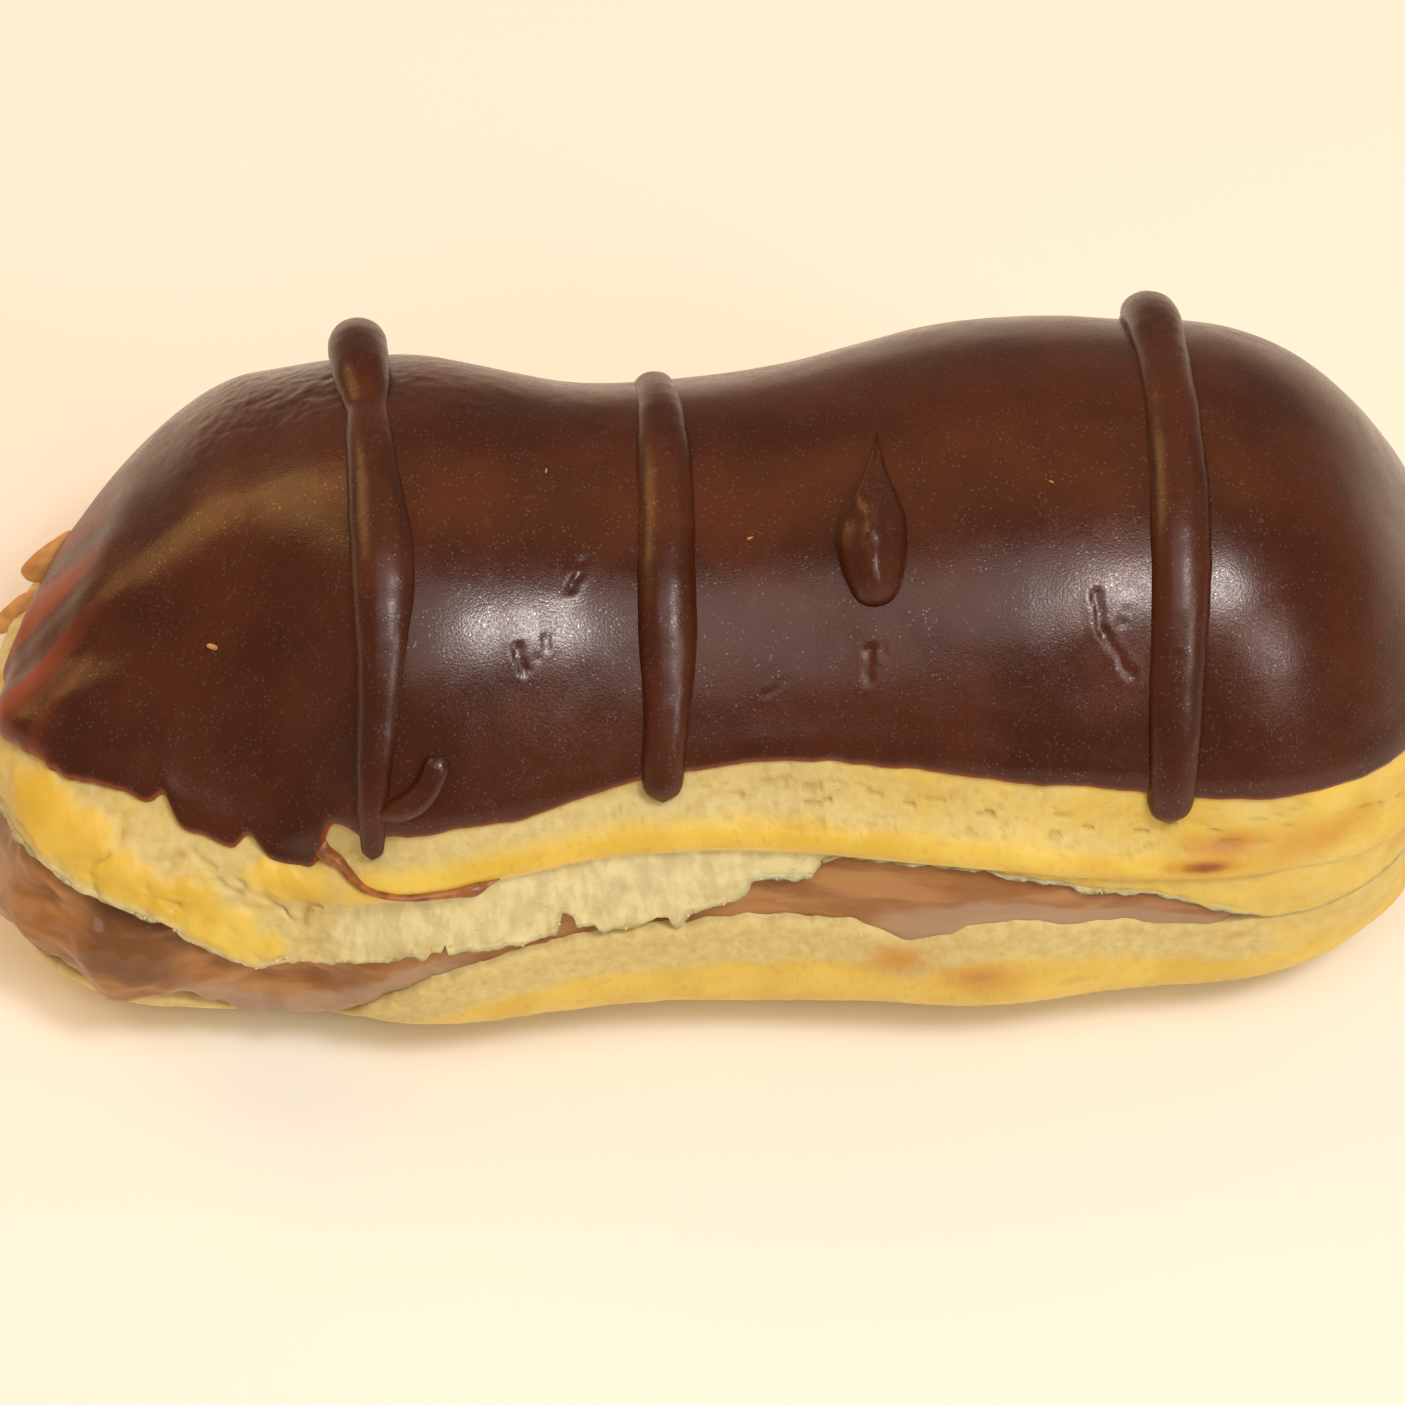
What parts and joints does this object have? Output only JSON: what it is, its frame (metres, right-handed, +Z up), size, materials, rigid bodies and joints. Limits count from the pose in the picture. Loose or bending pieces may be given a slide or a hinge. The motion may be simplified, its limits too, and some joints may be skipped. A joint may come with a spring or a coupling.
{
  "type": "chocolate eclair",
  "caption": "Chocolate eclair: a long waisted choux bun cut open along the front and filled with chocolate cream, under a chocolate coat with piped chocolate stripes.",
  "frame": {"origin": "on the flat foot that the bun rests on, under the middle of its length and width", "axes": "+X along the bun, +Y from the cut side to the uncut side, +Z up"},
  "size_m": [0.1074, 0.051, 0.0426],
  "materials": {
    "choux": "baked choux pastry, golden on its ridges and pale and porous between them",
    "cream": "soft satin milk chocolate cream",
    "chocolate": "set dark chocolate with a satin sheen"
  },
  "bodies": {
    "root": {"choux": "choux", "cream": "cream", "chocolate_coat": "chocolate", "stripe_left": "chocolate", "stripe_middle": "chocolate", "stripe_right": "chocolate", "chocolate_drop": "chocolate"}
  },
  "joints": []
}
